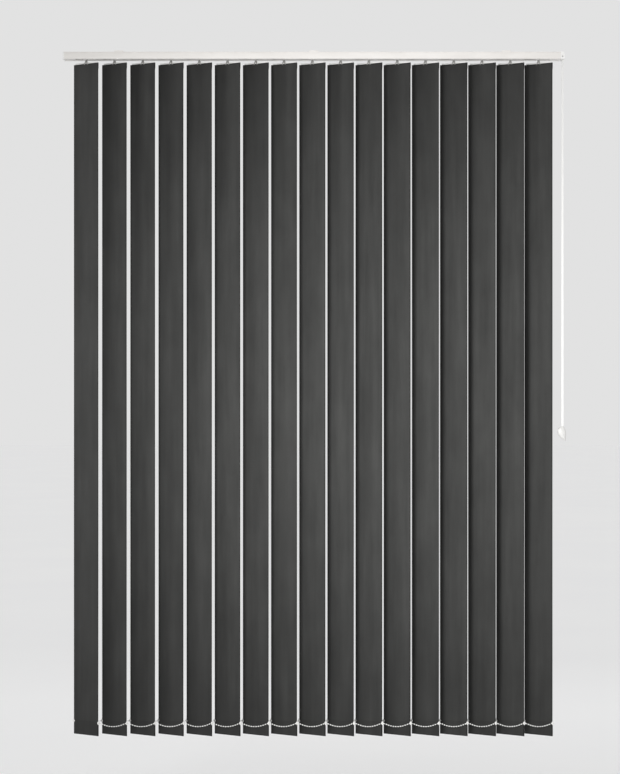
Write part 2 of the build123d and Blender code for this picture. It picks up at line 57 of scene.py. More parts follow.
# ---------- places and sizes, in metres ----------
rail_walls = ["headrail_top", "headrail_front", "headrail_front_flange"]
rail_walls += ["headrail_back", "headrail_back_flange"]
rail_low, rail_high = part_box("headrail_front_flange")[0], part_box("headrail_top")[1]
pivots = {
    joint["child"]: Vector(joint["pos_m"])
    for joint in frame["joints"]
    if joint["child"].startswith("vane_")
}
vane_names = sorted(pivots)
pivot_xs = [pivots[name].x for name in vane_names]
louvre_pitch = pivot_xs[1] - pivot_xs[0]
rest_tilt = math.radians(-36.0)

fabric_width = 89 * mm
fabric_thickness = 0.45 * mm
fabric_top = rail_low.z - 10.5 * mm
fabric_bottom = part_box("louvre_01")[0].z
blade_half = 0.4 * mm
pocket_top = fabric_bottom + 40 * mm
weight_thickness = 1.2 * mm
clip_z = fabric_bottom + 36 * mm
clip_middle = 0.2 * mm
clip_half_thickness = 1.7 * mm
clip_wall = 0.65 * mm
clip_size = (8 * mm, 11 * mm)
clip_tip = fabric_width / 2 + 4.5 * mm
chain_hole_u = clip_tip - 2.2 * mm

bar_height = 3.6 * mm
bar_length = 78 * mm
bar_half = 0.8 * mm
pin_spacing = 7.2 * mm
wheel_z = (-16.8 * mm, -10.8 * mm)
claw_top = rail_low.z - 1.4 * mm

bead_pitch = 6.6 * mm
bead_radius = 1.8 * mm
link_radius = 0.35 * mm
chain_step = 1.5 * mm
hole_clearance = 3.0 * mm

cord_y = -14 * mm
cord_x = 685 * mm
cord_diameter = 2.4 * mm
cord_step = 0.55 * mm
strand_half = 1.5 * mm
weight_top = rail_low.z - 1010 * mm
weight_pulley_z = weight_top - 14.5 * mm
weight_pulley_radius = 4 * mm


# ---------- meshes ----------
def new_piece(name, mesh, smooth_angle=35.0):
    """A linked object for a mesh, with its sharp edges kept sharp."""
    mesh.shade_smooth()
    mesh.set_sharp_from_angle(angle=math.radians(smooth_angle))
    piece = bpy.data.objects.new(name, mesh)
    bpy.context.scene.collection.objects.link(piece)
    return piece


def cleaned(mesh, merge_distance):
    """The mesh with its doubled points merged and its faces turned outward."""
    tidy = bmesh.new()
    tidy.from_mesh(mesh)
    bmesh.ops.remove_doubles(tidy, verts=tidy.verts, dist=merge_distance)
    bmesh.ops.recalc_face_normals(tidy, faces=tidy.faces)
    tidy.to_mesh(mesh)
    tidy.free()
    return mesh


def mesh_of(name, points, faces):
    """A clean mesh from its points and faces."""
    mesh = bpy.data.meshes.new(name)
    mesh.from_pydata([tuple(p) for p in points], [], faces)
    return cleaned(mesh, 1e-6)


def ring_faces(rings, sides):
    """The faces between neighbouring rings of points, each ring with the same number of sides."""
    faces = []
    for r in range(rings - 1):
        for k in range(sides):
            n = (k + 1) % sides
            faces.append((r * sides + k, r * sides + n, (r + 1) * sides + n, (r + 1) * sides + k))
    return faces


def closed_faces(rings, sides):
    """The faces between the rings, and one over each end."""
    last = (rings - 1) * sides
    return ring_faces(rings, sides) + [tuple(range(sides)), tuple(range(last, last + sides))]


def joined(name, meshes):
    """One mesh that holds several closed shells."""
    whole = bmesh.new()
    for mesh in meshes:
        whole.from_mesh(mesh)
    mesh = bpy.data.meshes.new(name)
    whole.to_mesh(mesh)
    whole.free()
    return mesh


def arc(centre, radius, start, end, steps):
    """Points of a round stretch, with its angles in degrees."""
    angles = [math.radians(start + (end - start) * k / steps) for k in range(steps + 1)]
    return [(centre[0] + radius * math.cos(a), centre[1] + radius * math.sin(a)) for a in angles]


def rounded_box(x0, x1, z0, z1, radius, steps=5):
    """The outline of a rectangle with round corners."""
    corners = [(x1, z1, 0), (x0, z1, 90), (x0, z0, 180), (x1, z0, 270)]
    points = []
    for x, z, turn in corners:
        centre_x = x + math.copysign(radius, (x0 + x1) / 2 - x)
        centre_z = z + math.copysign(radius, (z0 + z1) / 2 - z)
        points += arc((centre_x, centre_z), radius, turn, turn + 90, steps)
    return points


def softened(points, radius, steps=3):
    """The outline with each corner rounded off."""
    soft = []
    for k, corner in enumerate(points):
        here = Vector(corner)
        before = Vector(points[k - 1]) - here
        after = Vector(points[(k + 1) % len(points)]) - here
        reach = min(radius, before.length * 0.45, after.length * 0.45)
        start, end = here + before.normalized() * reach, here + after.normalized() * reach
        for s in range(steps + 1):
            t = s / steps
            soft.append(tuple(start * (1 - t) ** 2 + here * 2 * t * (1 - t) + end * t**2))
    return soft


def circle(centre, radius, steps=20):
    """The outline of a round hole."""
    return arc(centre, radius, 0, 360 * (1 - 1 / steps), steps - 1)


def both_sides(right, low):
    """An outline from its right-hand side, from the top down, and its lowest middle point."""
    left = [(-x, z) for x, z in reversed(right)]
    return [left[-1], *right, low, *left[:-1]]


def plate(name, outlines, y0, y1, bevel, upright=True):
    """A plate with round edges: its outlines lie in X and Z, or in X and Y if it isn't upright."""
    curve = bpy.data.curves.new(name, "CURVE")
    curve.dimensions = "2D"
    curve.fill_mode = "BOTH"
    curve.extrude = (y1 - y0) / 2 - bevel
    curve.bevel_depth = bevel
    curve.bevel_resolution = 2
    curve.offset = -bevel
    for outline in outlines:
        spline = curve.splines.new("POLY")
        spline.points.add(len(outline) - 1)
        for point, (a, b) in zip(spline.points, outline):
            point.co = (a, b, 0, 1)
        spline.use_cyclic_u = True
    holder = bpy.data.objects.new(name, curve)
    mesh = bpy.data.meshes.new_from_object(holder)
    bpy.data.objects.remove(holder)
    middle = (y0 + y1) / 2
    if upright:
        mesh.transform(Matrix.Translation((0, middle, 0)) @ Matrix.Rotation(math.pi / 2, 4, "X"))
    else:
        mesh.transform(Matrix.Translation((0, 0, middle)))
    return cleaned(mesh, 2e-6)


def rod(name, start, end, radius, sides, bevel=0.0):
    """A round bar between two points, with its rims cut off by the bevel."""
    start, end = Vector(start), Vector(end)
    along = (end - start).normalized()
    turn = along.to_track_quat("Z", "Y")
    length = (end - start).length
    profile = [(0, 0), (radius - bevel, 0), (radius, bevel)]
    profile += [(radius, length - bevel), (radius - bevel, length), (0, length)]
    points = []
    for r, z in profile:
        for k in range(sides):
            a = 2 * math.pi * k / sides
            points.append(start + turn @ Vector((r * math.cos(a), r * math.sin(a), z)))
    return mesh_of(name, points, ring_faces(len(profile), sides))


def read_spline(route, resolution=12):
    """Points along the smooth line whose control points are the route."""
    curve = bpy.data.curves.new("route", "CURVE")
    curve.dimensions = "3D"
    spline = curve.splines.new("NURBS")
    spline.points.add(len(route) - 1)
    for point, place in zip(spline.points, route):
        point.co = (*place, 1)
    spline.order_u = 3
    spline.use_endpoint_u = True
    spline.resolution_u = resolution
    curve.resolution_u = resolution
    holder = bpy.data.objects.new("route", curve)
    mesh = bpy.data.meshes.new_from_object(holder)
    line = [v.co.copy() for v in mesh.vertices]
    bpy.data.objects.remove(holder)
    return line


def evenly(line, spacing):
    """Points at an even spacing along a line of close points."""
    reach = [0.0]
    for a, b in zip(line, line[1:]):
        reach.append(reach[-1] + (b - a).length)
    count = max(2, round(reach[-1] / spacing))
    even, k = [], 0
    for step in range(count + 1):
        here = reach[-1] * step / count
        while k < len(line) - 2 and reach[k + 1] < here:
            k += 1
        share = (here - reach[k]) / max(reach[k + 1] - reach[k], 1e-9)
        even.append(line[k].lerp(line[k + 1], min(max(share, 0.0), 1.0)))
    return even


def tube(name, line, radius_at, sides, across):
    """A closed tube along a line that lies in one plane, whose normal is across."""
    points = []
    for i, place in enumerate(line):
        ahead = line[min(i + 1, len(line) - 1)] - line[max(i - 1, 0)]
        up = across.cross(ahead).normalized()
        for k in range(sides):
            a = 2 * math.pi * k / sides
            points.append(place + (across * math.cos(a) + up * math.sin(a)) * radius_at(i, a))
    return mesh_of(name, points, closed_faces(len(line), sides))


# ---------- materials ----------
class Nodes:
    """A material's node tree, with short calls for the nodes that these finishes use."""

    def __init__(self, name):
        self.material = bpy.data.materials.new(name)
        self.material.use_nodes = True
        self.tree = self.material.node_tree
        self.shader = self.tree.nodes["Principled BSDF"]
        self.coordinates = self.add("ShaderNodeTexCoord").outputs["Object"]

    def add(self, kind, **settings):
        """A new node of a kind, with its settings."""
        node = self.tree.nodes.new(kind)
        for key, value in settings.items():
            setattr(node, key, value)
        return node

    def link(self, output, socket):
        self.tree.links.new(output, socket)

    def feed(self, socket, value):
        """Link an output to a socket, or set the socket to a plain value."""
        if isinstance(value, bpy.types.NodeSocket):
            self.link(value, socket)
        else:
            socket.default_value = value

    def math(self, operation, a, b=0.0):
        node = self.add("ShaderNodeMath", operation=operation)
        self.feed(node.inputs[0], a)
        self.feed(node.inputs[1], b)
        return node.outputs[0]

    def weighted(self, *parts):
        """The sum of some values, each times its share."""
        total, *others = [self.math("MULTIPLY", value, share) for value, share in parts]
        for other in others:
            total = self.math("ADD", total, other)
        return total

    def stretched(self, scale, shift=None):
        """The object's coordinates, scaled along each axis and shifted."""
        node = self.add("ShaderNodeMapping")
        self.link(self.coordinates, node.inputs["Vector"])
        node.inputs["Scale"].default_value = scale
        if shift is not None:
            self.link(shift, node.inputs["Location"])
        return node.outputs["Vector"]

    def noise(self, scale, detail=3.0, roughness=0.5, shift=None):
        node = self.add("ShaderNodeTexNoise")
        self.link(self.stretched(scale, shift), node.inputs["Vector"])
        node.inputs["Scale"].default_value = 1.0
        node.inputs["Detail"].default_value = detail
        node.inputs["Roughness"].default_value = roughness
        return node.outputs["Fac"]

    def ramp(self, value, stops):
        """A colour for the value, from stops that are each a place and a colour."""
        node = self.add("ShaderNodeValToRGB")
        while len(node.color_ramp.elements) < len(stops):
            node.color_ramp.elements.new(0.5)
        for element, (place, colour) in zip(node.color_ramp.elements, stops):
            element.position = place
            element.color = (*colour, 1)
        self.feed(node.inputs["Fac"], value)
        return node.outputs["Color"]

    def map_range(self, value, low, high, out_low=0.0, out_high=1.0):
        node = self.add("ShaderNodeMapRange")
        self.feed(node.inputs["Value"], value)
        ends = {"From Min": low, "From Max": high, "To Min": out_low, "To Max": out_high}
        for socket, number in ends.items():
            node.inputs[socket].default_value = number
        return node.outputs["Result"]

    def multiplied(self, colour, factor):
        node = self.add("ShaderNodeVectorMath", operation="SCALE")
        self.link(colour, node.inputs[0])
        self.feed(node.inputs["Scale"], factor)
        return node.outputs[0]

    def bump(self, height, strength, distance):
        node = self.add("ShaderNodeBump")
        node.inputs["Strength"].default_value = strength
        node.inputs["Distance"].default_value = distance
        self.link(height, node.inputs["Height"])
        self.link(node.outputs["Normal"], self.shader.inputs["Normal"])

    def set(self, **sockets):
        """Feed the shader's sockets, named with an underscore for each space."""
        for name, value in sockets.items():
            self.feed(self.shader.inputs[name.replace("_", " ")], value)


def louvre_fabric():
    """Charcoal suede-look polyester: soft upright streaks, a fine weave, darker sealed edges, and
    painted shade over the doubled hem pocket.
    """
    n = Nodes("charcoal louvre fabric")
    shift = n.math("MULTIPLY", n.add("ShaderNodeObjectInfo").outputs["Random"], 40.0)
    streaks = n.noise((34, 34, 2.2), 4.0, 0.55, shift)
    mottle = n.noise((16, 16, 9), 5.0, 0.6, shift)
    grain = n.noise((1500, 1500, 700), 2.0, 0.5, shift)
    colour = n.ramp(n.weighted((streaks, 0.55), (mottle, 0.35), (grain, 0.10)), [
        (0.34, (0.024, 0.0242, 0.0233)),
        (0.50, (0.033, 0.0332, 0.0320)),
        (0.66, (0.043, 0.0432, 0.0417)),
    ])
    axes = n.add("ShaderNodeSeparateXYZ")
    n.link(n.coordinates, axes.inputs[0])
    across, up = n.math("ABSOLUTE", axes.outputs["X"]), axes.outputs["Z"]
    side = n.map_range(across, 41.0 * mm, 42.2 * mm)
    top = n.map_range(up, fabric_top - 3 * mm, fabric_top - 1.5 * mm)
    foot = n.map_range(up, fabric_bottom + 3.2 * mm, fabric_bottom + 1.6 * mm)
    edge = n.math("MAXIMUM", side, n.math("MAXIMUM", top, foot))
    off_weld = n.math("ABSOLUTE", n.math("SUBTRACT", up, pocket_top - 1.5 * mm))
    weld = n.map_range(off_weld, 1.0 * mm, 0.6 * mm, 0.0, 0.16)
    # Painted shade: the cloth over the hem pocket is darkened a little, as if less light came
    # through the doubled layer.
    hem_painted_shade = n.map_range(up, pocket_top, pocket_top - 2 * mm)
    dark = n.weighted((n.math("MAXIMUM", edge, weld), 0.5), (hem_painted_shade, 0.14))
    n.set(
        Base_Color=n.multiplied(colour, n.math("SUBTRACT", 1.0, dark)), Roughness=0.86,
        Sheen_Weight=0.18, Sheen_Roughness=0.45, Specular_IOR_Level=0.25,
    )
    warp = n.add("ShaderNodeTexWave", bands_direction="X")
    weft = n.add("ShaderNodeTexWave", bands_direction="Z")
    for thread in (warp, weft):
        n.link(n.coordinates, thread.inputs["Vector"])
        thread.inputs["Scale"].default_value = 420.0
        thread.inputs["Distortion"].default_value = 0.6
    weave = n.math("ADD", warp.outputs["Fac"], weft.outputs["Fac"])
    n.bump(n.weighted((weave, 0.4), (grain, 0.8), (weld, -1.5)), 0.5, 0.08 * mm)
    return n.material


def powder_coat():
    """Satin white paint with a faint orange peel."""
    n = Nodes("white powder coat")
    cloud = n.noise((14, 60, 60), 3.0)
    peel = n.noise((1300, 1300, 1300), 2.0)
    n.set(Base_Color=n.ramp(cloud, [(0.3, (0.77, 0.745, 0.715)), (0.7, (0.82, 0.797, 0.767))]))
    n.set(Roughness=n.map_range(peel, 0.3, 0.7, 0.30, 0.42))
    n.set(Specular_IOR_Level=0.5, Coat_Weight=0.1)
    n.bump(peel, 0.25, 0.03 * mm)
    return n.material


def moulded(name, dark, light, roughness, **more):
    """Moulded plastic with a slightly uneven gloss and a fine grain."""
    n = Nodes(name)
    cloud = n.noise((120, 120, 120), 3.0)
    grain = n.noise((3000, 3000, 3000), 2.0)
    n.set(Base_Color=n.ramp(cloud, [(0.3, dark), (0.7, light)]))
    n.set(Roughness=n.map_range(cloud, 0.3, 0.7, roughness - 0.05, roughness + 0.07), **more)
    n.bump(grain, 0.2, 0.02 * mm)
    return n.material


def drawn_metal(name, dark, light, roughness, along):
    """Bare metal with fine drawn lines along one axis."""
    n = Nodes(name)
    scale = [2600.0, 2600.0, 2600.0]
    scale["XYZ".index(along)] = 25.0
    lines = n.noise(scale, 3.0, 0.6)
    n.set(Base_Color=n.ramp(lines, [(0.3, dark), (0.7, light)]), Metallic=1.0)
    n.set(Roughness=n.map_range(lines, 0.3, 0.7, roughness - 0.08, roughness + 0.08))
    n.bump(lines, 0.15, 0.01 * mm)
    return n.material


def braid():
    """White braided polyester cord."""
    n = Nodes("white braided cord")
    fibre = n.noise((4200, 4200, 1800), 3.0, 0.6)
    n.set(Base_Color=n.ramp(fibre, [(0.25, (0.74, 0.74, 0.725)), (0.7, (0.90, 0.90, 0.88))]))
    n.set(Roughness=0.72, Sheen_Weight=0.25, Sheen_Roughness=0.4)
    n.bump(fibre, 0.35, 0.05 * mm)
    return n.material


def pale_floor():
    """Matt studio floor with a faint unevenness."""
    n = Nodes("pale studio floor")
    cloud = n.noise((0.8, 0.8, 0.8), 2.0)
    tones = [(0.3, (0.915, 0.915, 0.92)), (0.7, (0.93, 0.93, 0.93))]
    n.set(Base_Color=n.ramp(cloud, tones), Roughness=0.8)
    return n.material


fabric_finish = louvre_fabric()
paint = powder_coat()
white_gloss = moulded("white moulded plastic", (0.82, 0.815, 0.80), (0.88, 0.875, 0.86), 0.32)
hanger_white = moulded("white hanger plastic", (0.78, 0.775, 0.755), (0.85, 0.845, 0.83), 0.42)
# Painted shade: the hook's translucent plastic is given a mid grey, standing in for the shade it
# hangs in under the rail.
hook_grey_painted_shade = moulded("translucent plastic greyed by painted shade", (0.30, 0.295, 0.285), (0.40, 0.395, 0.38), 0.30,
                     Transmission_Weight=0.15)
truck_grey = moulded("grey white acetal", (0.56, 0.555, 0.54), (0.64, 0.635, 0.62), 0.38)
chain_white = moulded("white bead plastic", (0.80, 0.795, 0.78), (0.86, 0.855, 0.84), 0.35)
steel = drawn_metal("bright steel", (0.52, 0.52, 0.53), (0.66, 0.66, 0.67), 0.30, "Y")
rod_metal = drawn_metal("drawn aluminium", (0.66, 0.66, 0.67), (0.78, 0.78, 0.79), 0.34, "X")
cord_finish = braid()
# Painted shade: the cord weight's white plastic is given a darker grey than the other white parts,
# standing in for shade.
weight_white_painted_shade = moulded("white weight plastic darkened as painted shade", (0.50, 0.497, 0.485), (0.56, 0.556, 0.545), 0.40)


# ---------- CAD pieces that show ----------
def finish_cad(node, material, edge=0.0):
    """Give a CAD node its material, and round its sharp edges a little."""
    piece = frame["nodes"][node]
    piece.data.materials.clear()
    piece.data.materials.append(material)
    if edge:
        weld = piece.modifiers.new("weld", "WELD")
        weld.merge_threshold = 1e-5
        bevel = piece.modifiers.new("edges", "BEVEL")
        bevel.width = edge
        bevel.segments = 2
        bevel.limit_method = "ANGLE"
        bevel.angle_limit = math.radians(50)


cad_finishes = [
    (paint, 0.2 * mm, ["bracket_left", "bracket_centre", "bracket_right"]),
    (white_gloss, 0.3 * mm, ["control_end_cap", "idle_end_cap"]),
    (white_gloss, 0.25 * mm, ["control_end_cover"]),
    (steel, 0.0, ["cover_screws", "pulley_axles", "weight_pulley_axle"]),
    (rod_metal, 0.0, ["tilt_rod"]),
    (truck_grey, 0.0, ["chain_wheel", "upper_cord_pulley", "lower_cord_pulley", "return_pulley"]),
    (truck_grey, 0.0, ["weight_pulley"]),
    (truck_grey, 0.15 * mm, [f"truck_{number:02d}" for number in range(1, len(vane_names) + 1)]),
    (cord_finish, 0.0, ["traverse_cord_in_rail"]),
]
for material, edge, nodes in cad_finishes:
    for node in nodes:
        finish_cad(node, material, edge)


# ---------- headrail ----------
def rail_section():
    """The rail's section in Y and Z: a channel with a slot below and a clip groove each side."""
    half, wall, slot = 22 * mm, 1.2 * mm, 7 * mm
    top, bottom = rail_high.z, rail_low.z
    corner, inner = 1.6 * mm, 0.5 * mm
    groove_top, groove_bottom, groove_depth = top - 2.4 * mm, top - 3.4 * mm, 0.6 * mm
    chamfer = 0.35 * mm
    right = [(slot, bottom + wall), (slot, bottom + chamfer), (slot + chamfer, bottom)]
    right += arc((half - corner, bottom + corner), corner, -90, 0, 6)
    right += [
        (half, groove_bottom),
        (half - groove_depth, groove_bottom),
        (half - groove_depth, groove_top),
        (half, groove_top),
    ]
    right += arc((half - corner, top - corner), corner, 0, 90, 6)
    left = [(-y, z) for y, z in reversed(right)]
    inside = arc((-half + wall + inner, bottom + wall + inner), inner, 270, 180, 3)
    inside += arc((-half + wall + inner, top - wall - inner), inner, 180, 90, 3)
    inside += arc((half - wall - inner, top - wall - inner), inner, 90, 0, 3)
    inside += arc((half - wall - inner, bottom + wall + inner), inner, 0, -90, 3)
    return right + left + inside


def headrail_mesh():
    """The rail's section, drawn along the rail in even steps between its two ends."""
    section, steps, end = rail_section(), 24, 0.3 * mm
    stations = [rail_low.x + (rail_high.x - rail_low.x) * k / steps for k in range(1, steps)]
    stations = [rail_low.x, rail_low.x + end, *stations, rail_high.x - end, rail_high.x]
    points = [(x, y, z) for x in stations for y, z in section]
    return mesh_of("headrail_profile", points, closed_faces(len(stations), len(section)))


headrail = new_piece("headrail_profile", headrail_mesh(), 25)
headrail.data.materials.append(paint)
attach(headrail, "rail")
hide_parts(*rail_walls)


# ---------- louvres, each made about its pivot and then turned to the rest tilt ----------
def cloth_shell(name, path, bow):
    """A strip of cloth that follows a path in Y and Z, and stands off it by the bow."""
    columns = 14
    row = 2 * (columns + 1)
    points, faces = [], []
    for j, (y, z) in enumerate(path):
        y0, z0 = path[max(j - 1, 0)]
        y1, z1 = path[min(j + 1, len(path) - 1)]
        run = math.hypot(y1 - y0, z1 - z0)
        normal = ((z1 - z0) / run, -(y1 - y0) / run)
        for i in range(columns + 1):
            u = fabric_width * (i / columns - 0.5)
            for side in (-0.5, 0.5):
                reach = side * fabric_thickness
                points.append((u, y + normal[0] * reach + bow(u, z), z + normal[1] * reach))
    for j in range(len(path) - 1):
        for i in range(columns):
            a, b = j * row + 2 * i, j * row + 2 * i + 2
            faces.append((a, b, b + row, a + row))
            faces.append((a + 1, a + row + 1, b + row + 1, b + 1))
        a, b = j * row, j * row + 2 * columns
        faces.append((a, a + row, a + row + 1, a + 1))
        faces.append((b, b + 1, b + row + 1, b + row))
    for i in range(columns):
        a, b = 2 * i, (len(path) - 1) * row + 2 * i
        faces.append((a, a + 1, a + 3, a + 2))
        faces.append((b, b + 2, b + 3, b + 1))
    return mesh_of(name, points, faces)


def fabric_mesh(name, seed):
    """A louvre's cloth, with its hem pocket, its top pocket and a slight camber of its own."""
    front = -blade_half - fabric_thickness / 2
    back = -blade_half + weight_thickness + fabric_thickness / 2
    welded = front + fabric_thickness * 1.02
    fold = (back - front) / 2
    fold_z = fabric_bottom + fabric_thickness / 2 + fold
    hem_rows, cloth_rows = 6, 96

    # From the hem's welded edge down behind the weight plate, round the fold and up to the hanger.
    strip = [(welded, pocket_top), (front + fabric_thickness * 1.3, pocket_top - 1.2 * mm)]
    strip += [(back, pocket_top - 3.0 * mm)]
    strip += [
        (back, pocket_top + (fold_z - pocket_top) * k / hem_rows) for k in range(1, hem_rows)
    ]
    strip += arc(((front + back) / 2, fold_z), fold, 0, -180, 8)
    strip += [
        (front, fold_z + (fabric_top - fold_z) * k / cloth_rows) for k in range(1, cloth_rows + 1)
    ]
    # The flap of the top pocket, from the hanger down behind its blade to its welded edge.
    flap_y = blade_half + fabric_thickness / 2
    flap = [(flap_y, fabric_top - depth * mm) for depth in (0, 6, 14.4)]
    flap += [(welded, fabric_top - depth * mm) for depth in (17, 19.5)]

    camber = (0.26 + 0.10 * math.sin(seed * 2.1)) * mm
    twist = 0.22 * mm * math.sin(seed * 1.3 + 0.4)
    height = fabric_top - fabric_bottom

    def bow(u, z):
        """How far the hanging cloth stands off its middle plane."""
        down = (fabric_top - z) / height
        hang = math.sin(math.pi * min(max(down, 0.0), 1.0)) ** 0.7
        across = 2 * u / fabric_width
        wave = 0.10 * mm * math.sin(9.0 * down + seed) * across
        return hang * (camber * (across**2 - 0.4) + twist * across + wave)

    return joined(name, [cloth_shell(name, path, bow) for path in (strip, flap)])


def hanger_mesh():
    """The bar along the top of the cloth, and its blade inside the cloth's top pocket."""
    bar_end = bar_length / 2
    bar_top, bar_middle = fabric_top + bar_height, fabric_top + bar_height / 2
    bar = rounded_box(-bar_end, bar_end, fabric_top, bar_top, bar_height * 0.45)
    hole_radius = 0.95 * mm
    holes = [circle((side * pin_spacing / 2, bar_middle), hole_radius) for side in (-1, 1)]
    blade_end = bar_end - 2 * mm
    blade_foot, blade_head = fabric_top - 14 * mm, fabric_top + 0.8 * mm
    blade = rounded_box(-blade_end, blade_end, blade_foot, blade_head, 0.7 * mm)
    return joined("hanger", [
        plate("bar", [bar, *holes], -bar_half, bar_half, 0.35 * mm),
        plate("blade", [blade], -blade_half, blade_half, 0.15 * mm),
    ])


def hook_mesh():
    """The hook: gear wheel, stem, neck, and two forked claws that straddle the hanger's bar."""
    bar_top, bar_middle = fabric_top + bar_height, fabric_top + bar_height / 2
    claw_wall, claw_reach = 0.9 * mm, 1.9 * mm
    foot_z, crotch_z = fabric_top - 3 * mm, bar_top + 1.4 * mm
    claw = softened(both_sides([
        (2.5 * mm, claw_top), (2.6 * mm, claw_top - 1.8 * mm), (6.5 * mm, foot_z + 0.9 * mm),
        (6.2 * mm, foot_z), (4.1 * mm, foot_z), (0.5 * mm, crotch_z - 0.4 * mm),
    ], (0, crotch_z)), 0.8 * mm)
    core_z, core_half = bar_top + 2.15 * mm, 1.3 * mm
    core = both_sides([
        (2.3 * mm, claw_top - 0.1 * mm), (2.4 * mm, claw_top - 1.7 * mm),
        (2.9 * mm, core_z), (1.2 * mm, core_z),
    ], (0, core_z + 0.1 * mm))
    pieces = [
        plate("claw", [claw], -claw_reach, claw_wall - claw_reach, 0.2 * mm),
        plate("claw", [claw], claw_reach - claw_wall, claw_reach, 0.2 * mm),
        plate("core", [core], -core_half, core_half, 0.1 * mm),
    ]
    pin_radius, pin_end = 0.8 * mm, 1.2 * mm
    for x in (-pin_spacing / 2, pin_spacing / 2):
        front, back = (x, -pin_end, bar_middle), (x, pin_end, bar_middle)
        pieces.append(rod("pin", front, back, pin_radius, 14))
    stem_radius, stem_foot, stem_head = 2.5 * mm, claw_top - 0.6 * mm, wheel_z[0] + 0.4 * mm
    pieces.append(rod("stem", (0, 0, stem_foot), (0, 0, stem_head), stem_radius, 24, 0.3 * mm))
    tooth_count, root, tip = 12, 5.1 * mm, 6.4 * mm
    wheel = []
    for tooth in range(tooth_count):
        for radius, angle in ((root, -9), (tip, -5), (tip, 5), (root, 9)):
            a = math.radians(360 / tooth_count * tooth + angle)
            wheel.append((radius * math.cos(a), radius * math.sin(a)))
    pieces.append(plate("wheel", [wheel], *wheel_z, 0.15 * mm, upright=False))
    return joined("hook", pieces)


def weight_plate_mesh():
    """The plate that keeps the cloth straight, inside its hem pocket."""
    half_width, height, corner, clearance = 42 * mm, 35.5 * mm, 3 * mm, 0.05 * mm
    low = fabric_bottom + fabric_thickness + 0.3 * mm
    outline = rounded_box(-half_width, half_width, low, low + height, corner)
    y0, y1 = -blade_half + clearance, -blade_half + weight_thickness - clearance
    return plate("bottom_weight", [outline], y0, y1, 0.2 * mm)


def clip_mesh(side):
    """A diamond clip over the louvre's edge: two cheeks, and a nose that holds the chain."""
    width, height = clip_size
    middle = clip_tip - width / 2
    diamond = [(middle - width / 2, clip_z), (middle, clip_z + height / 2)]
    diamond += [(clip_tip, clip_z), (middle, clip_z - height / 2)]
    diamond = softened([(side * u, z) for u, z in diamond], 1.1 * mm)
    hole = circle((side * chain_hole_u, clip_z), 1.0 * mm)
    low, high = clip_middle - clip_half_thickness, clip_middle + clip_half_thickness
    cheeks = [
        plate("cheek", [diamond, hole], low, low + clip_wall, 0.2 * mm),
        plate("cheek", [diamond, hole], high - clip_wall, high, 0.2 * mm),
    ]
    start = fabric_width / 2 + 0.1 * mm
    rise = height / 2 * (clip_tip - start) / (width / 2) - 0.35 * mm
    nose = [(start, clip_z + rise), (clip_tip - 0.4 * mm, clip_z), (start, clip_z - rise)]
    nose = softened([(side * u, z) for u, z in nose], 0.5 * mm)
    body = plate("nose", [nose, hole], low + 0.3 * mm, high - 0.3 * mm, 0.1 * mm)
    return joined("clip", [*cheeks, body])


shared = {
    "hanger": (hanger_mesh(), hanger_white),
    "hook": (hook_mesh(), hook_grey_painted_shade),
    "bottom_weight": (weight_plate_mesh(), hanger_white),
    "front_clip": (clip_mesh(1), white_gloss),
    "rear_clip": (clip_mesh(-1), white_gloss),
}
for mesh, material in shared.values():
    mesh.materials.append(material)

for number, vane in enumerate(vane_names, 1):
    pivot = pivots[vane]
    place = Matrix.Translation((pivot.x, pivot.y, 0)) @ Matrix.Rotation(rest_tilt, 4, "Z")
    cloth_name = f"louvre_fabric_{number:02d}"
    cloth = new_piece(cloth_name, fabric_mesh(cloth_name, number), 50)
    cloth.data.materials.append(fabric_finish)
    cloth.matrix_world = place
    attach(cloth, vane)
    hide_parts(f"louvre_{number:02d}")
    for part, (mesh, material) in shared.items():
        piece = new_piece(f"louvre_{part}_{number:02d}", mesh)
        piece.matrix_world = place
        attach(piece, vane)


# ---------- bottom chains ----------
def chain_hole(x, side):
    """Where the chain hole of the louvre at x lies, seen from above."""
    u = side * chain_hole_u
    return Vector((
        x + u * math.cos(rest_tilt) - clip_middle * math.sin(rest_tilt),
        u * math.sin(rest_tilt) + clip_middle * math.cos(rest_tilt),
        clip_z,
    ))


def chain_route(side):
    """The chain's line through the holes, with the same points in every span."""
    free_gap, clip_gap = 3.1 * mm, 4.7 * mm
    near, far = (free_gap, clip_gap) if side > 0 else (clip_gap, free_gap)
    sag = [drop * mm for drop in (0.5, 5.4, 8.6, 9.4, 8.6, 5.4, 0.5)]
    route = []
    for x in pivot_xs[:-1]:
        hole = chain_hole(x, side)
        start, end = hole.x + near, hole.x + louvre_pitch - far
        for k, drop in enumerate(sag):
            route.append((start + (end - start) * k / (len(sag) - 1), hole.y, clip_z - drop))
    return route


def bead(centre, radius, sides=14, rings=9):
    """The points and faces of one round bead."""
    points = []
    for r in range(rings + 1):
        polar = math.pi * r / rings
        for k in range(sides):
            a = 2 * math.pi * k / sides
            ring = Vector((0, math.cos(a), math.sin(a))) * math.sin(polar)
            points.append(centre + (ring + Vector((math.cos(polar), 0, 0))) * radius)
    return points, ring_faces(rings + 1, sides)


def bottom_chain(name, side, body, node):
    """A moulded bead chain from clip to clip along the louvres' edges."""
    line = evenly(read_spline(chain_route(side)), chain_step)
    link = tube("link", line, lambda i, a: link_radius, 8, Vector((0, 1, 0)))
    holes = [chain_hole(x, side) for x in pivot_xs]
    points, faces = [], []
    for place in evenly(line, bead_pitch):
        if min((place - hole).length for hole in holes) < hole_clearance:
            continue
        own_points, own_faces = bead(place, bead_radius)
        faces += [tuple(len(points) + k for k in face) for face in own_faces]
        points += own_points
    chain = new_piece(name, joined(name, [link, mesh_of("beads", points, faces)]), 60)
    chain.data.materials.append(chain_white)
    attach(chain, body)
    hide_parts(node)
    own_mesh(chain)


bottom_chain("bottom_chain_front_beads", 1, "front_chain", "bottom_chain_front")
bottom_chain("bottom_chain_rear_beads", -1, "rear_chain", "bottom_chain_rear")


